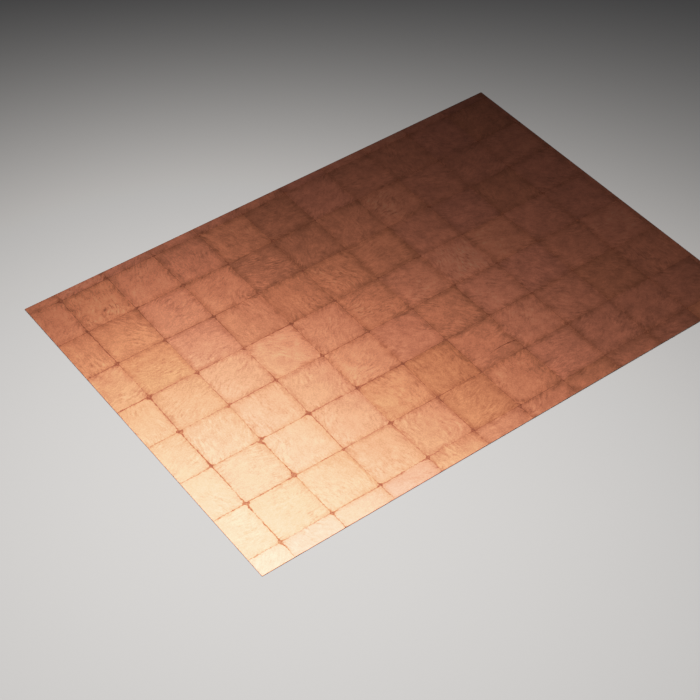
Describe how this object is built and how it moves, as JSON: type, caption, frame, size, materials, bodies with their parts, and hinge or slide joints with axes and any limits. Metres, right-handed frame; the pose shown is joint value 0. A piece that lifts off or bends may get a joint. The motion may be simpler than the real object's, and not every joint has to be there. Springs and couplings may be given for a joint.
{
  "type": "copper leaf panel",
  "caption": "Thin flat rectangular panel gilded with square leaves of copper in a grid of ragged seams, over a red-brown ground and under clear lacquer.",
  "frame": {"origin": "centre of the flat back face, which the panel rests on or is bonded by", "axes": "+X along the panel's length, +Y across it towards the narrow row of part leaves, +Z out of the gilded face"},
  "size_m": [1, 0.707, 0.0016],
  "materials": {
    "phenolic_laminate": "matte",
    "red_brown_ground": "matte",
    "gilders_size": "satin",
    "copper_leaf": "satin",
    "clear_lacquer": "satin"
  },
  "bodies": {
    "root": {"backing_panel": "phenolic_laminate", "ground_coat": "red_brown_ground", "size_film": "gilders_size", "leaf_row_1": "copper_leaf", "leaf_row_2": "copper_leaf", "leaf_row_3": "copper_leaf", "leaf_row_4": "copper_leaf", "leaf_row_5": "copper_leaf", "leaf_row_6": "copper_leaf", "leaf_row_7": "copper_leaf", "leaf_row_8": "copper_leaf", "leaf_row_9": "copper_leaf", "clear_lacquer": "clear_lacquer"}
  },
  "joints": []
}
